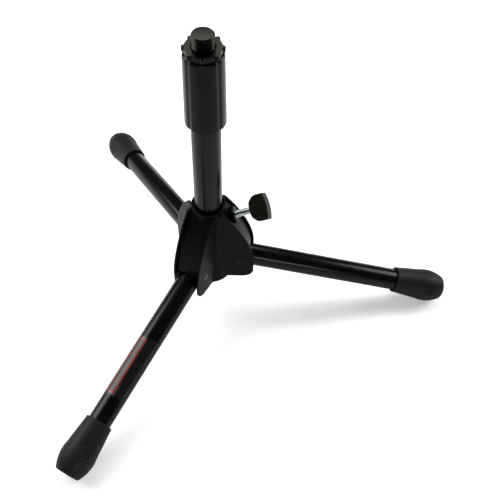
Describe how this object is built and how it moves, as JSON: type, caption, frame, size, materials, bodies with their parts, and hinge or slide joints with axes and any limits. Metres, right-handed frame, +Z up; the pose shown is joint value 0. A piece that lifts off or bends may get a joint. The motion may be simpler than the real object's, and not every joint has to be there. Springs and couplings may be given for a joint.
{
  "type": "microphone stand",
  "caption": "Short tripod microphone stand: folding tube legs in a moulded hub, a wing-bolt clamp, and a two-stage post with a twist clutch, lock ring and threaded stud.",
  "frame": {"origin": "on the floor, on the axis of the post, midway between the three feet", "axes": "+Z up along the post towards the threaded stud; +X along leg 1, which has the clamp screw above it"},
  "size_m": [0.3271, 0.3756, 0.288],
  "materials": {
    "tube_enamel": "semi-gloss black enamel",
    "foot_rubber": "satin black moulded rubber",
    "hub_plastic": "satin black moulded nylon",
    "clutch_plastic": "glossy black moulded plastic",
    "knob_plastic": "satin black moulded plastic",
    "zinc_steel": "zinc plated",
    "black_steel": "blackened steel",
    "nylon": "natural nylon",
    "leg_film": "clear-coated black film with a thin red border"
  },
  "bodies": {
    "hub": {"hub_body": "hub_plastic", "leg_pivot_pin_1": "black_steel", "leg_pivot_pin_2": "black_steel", "leg_pivot_pin_3": "black_steel", "leg_spacers_1": "nylon", "leg_spacers_2": "nylon", "leg_spacers_3": "nylon", "clamp_nut": "zinc_steel"},
    "leg_1": {"leg_tube_1": "tube_enamel", "leg_end_plug_1": "hub_plastic", "foot_cap_1": "foot_rubber"},
    "leg_2": {"leg_tube_2": "tube_enamel", "leg_end_plug_2": "hub_plastic", "foot_cap_2": "foot_rubber"},
    "leg_3": {"leg_tube_3": "tube_enamel", "leg_end_plug_3": "hub_plastic", "foot_cap_3": "foot_rubber", "leg_film": "leg_film"},
    "post": {"post_tube": "tube_enamel", "post_end_plug": "hub_plastic", "clutch_ferrule": "nylon", "clutch_collet": "nylon"},
    "clutch_washer": {"clutch_washer": "nylon"},
    "clutch_grip": {"clutch_grip": "clutch_plastic"},
    "tube_guide": {"tube_guide": "nylon"},
    "inner_tube": {"inner_tube": "zinc_steel", "thread_stud": "black_steel"},
    "lock_ring_washer": {"lock_ring_washer": "foot_rubber"},
    "lock_ring": {"lock_ring": "black_steel"},
    "clamp_shoe": {"clamp_shoe": "nylon"},
    "wing_screw": {"wing_bolt": "zinc_steel", "wing_knob": "knob_plastic"}
  },
  "joints": [
    {"name": "leg_1_fold", "type": "hinge", "parent": "hub", "child": "leg_1", "pos_m": [0.0255, 0, 0.0604], "axis": [0, 1, 0], "range_deg": [0, 75]},
    {"name": "leg_2_fold", "type": "hinge", "parent": "hub", "child": "leg_2", "pos_m": [-0.01275, 0.02208, 0.0604], "axis": [-0.866, -0.5, 0], "range_deg": [0, 75]},
    {"name": "leg_3_fold", "type": "hinge", "parent": "hub", "child": "leg_3", "pos_m": [-0.01275, -0.02208, 0.0604], "axis": [0.866, -0.5, 0], "range_deg": [0, 75]},
    {"name": "post_slide", "type": "slide", "parent": "hub", "child": "post", "axis": [0, 0, 1], "range_m": [-0.04, 0.035]},
    {"name": "clutch_lift", "type": "slide", "parent": "post", "child": "clutch_washer", "axis": [0, 0, -1], "range_m": [0, 0.0008]},
    {"name": "clutch_twist", "type": "hinge", "parent": "clutch_washer", "child": "clutch_grip", "pos_m": [0, 0, 0.274], "axis": [0, 0, -1], "range_deg": [0, 143]},
    {"name": "inner_tube_slide", "type": "slide", "parent": "post", "child": "tube_guide", "axis": [0, 0, 1], "range_m": [0, 0.11]},
    {"name": "inner_tube_spin", "type": "hinge", "parent": "tube_guide", "child": "inner_tube", "pos_m": [0, 0, 0.092], "axis": [0, 0, 1], "continuous": true},
    {"name": "lock_ring_lift", "type": "slide", "parent": "inner_tube", "child": "lock_ring_washer", "axis": [0, 0, 1], "range_m": [0, 0.006]},
    {"name": "lock_ring_spin", "type": "hinge", "parent": "lock_ring_washer", "child": "lock_ring", "pos_m": [0, 0, 0.2748], "axis": [0, 0, 1], "range_deg": [0, 2290]},
    {"name": "clamp_shoe_slide", "type": "slide", "parent": "hub", "child": "clamp_shoe", "axis": [0.9135, 0, 0.4067], "range_m": [-0.00025, 0.002]},
    {"name": "wing_screw_turn", "type": "hinge", "parent": "clamp_shoe", "child": "wing_screw", "pos_m": [0, 0, 0.101], "axis": [0.9135, 0, 0.4067], "range_deg": [-90, 720]}
  ],
  "couplings": [
    {"joint": "clutch_lift", "follows": "clutch_twist", "m_per_rad": 0.00031831},
    {"joint": "lock_ring_lift", "follows": "lock_ring_spin", "m_per_rad": 0.00014972},
    {"joint": "clamp_shoe_slide", "follows": "wing_screw_turn", "m_per_rad": 0.00015915}
  ]
}
